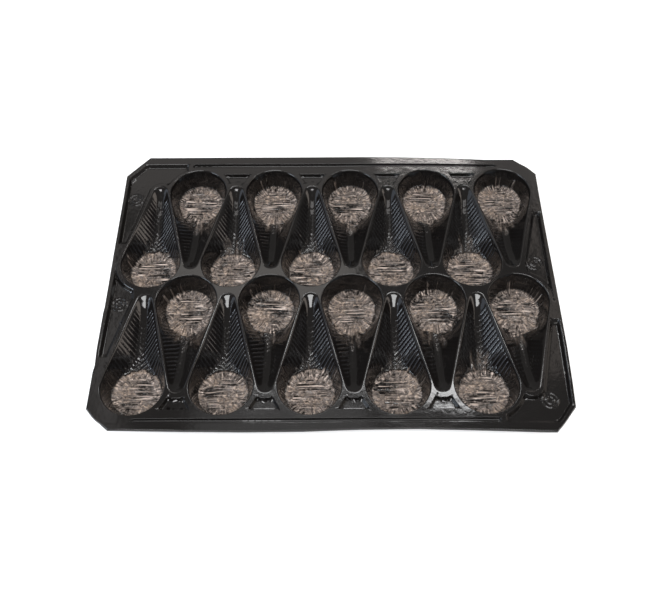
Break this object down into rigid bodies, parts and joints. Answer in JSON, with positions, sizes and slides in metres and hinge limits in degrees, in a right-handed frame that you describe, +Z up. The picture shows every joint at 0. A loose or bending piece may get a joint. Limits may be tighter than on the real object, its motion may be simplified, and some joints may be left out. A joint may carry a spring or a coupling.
{
  "type": "fruit packing tray",
  "caption": "Shallow black plastic box liner with two rows of pear-shaped pockets lying head to tail, for packing fruit so that the pieces do not touch.",
  "frame": {"origin": "centre of the tray's footprint, on the plane that the pockets' flat bottoms rest on", "axes": "+X along the longer side, +Y from the front edge to the back edge, +Z up out of the pockets"},
  "size_m": [0.385, 0.283, 0.0195],
  "materials": {
    "sheet": "gloss"
  },
  "bodies": {
    "root": {"tray": "sheet"}
  },
  "joints": []
}
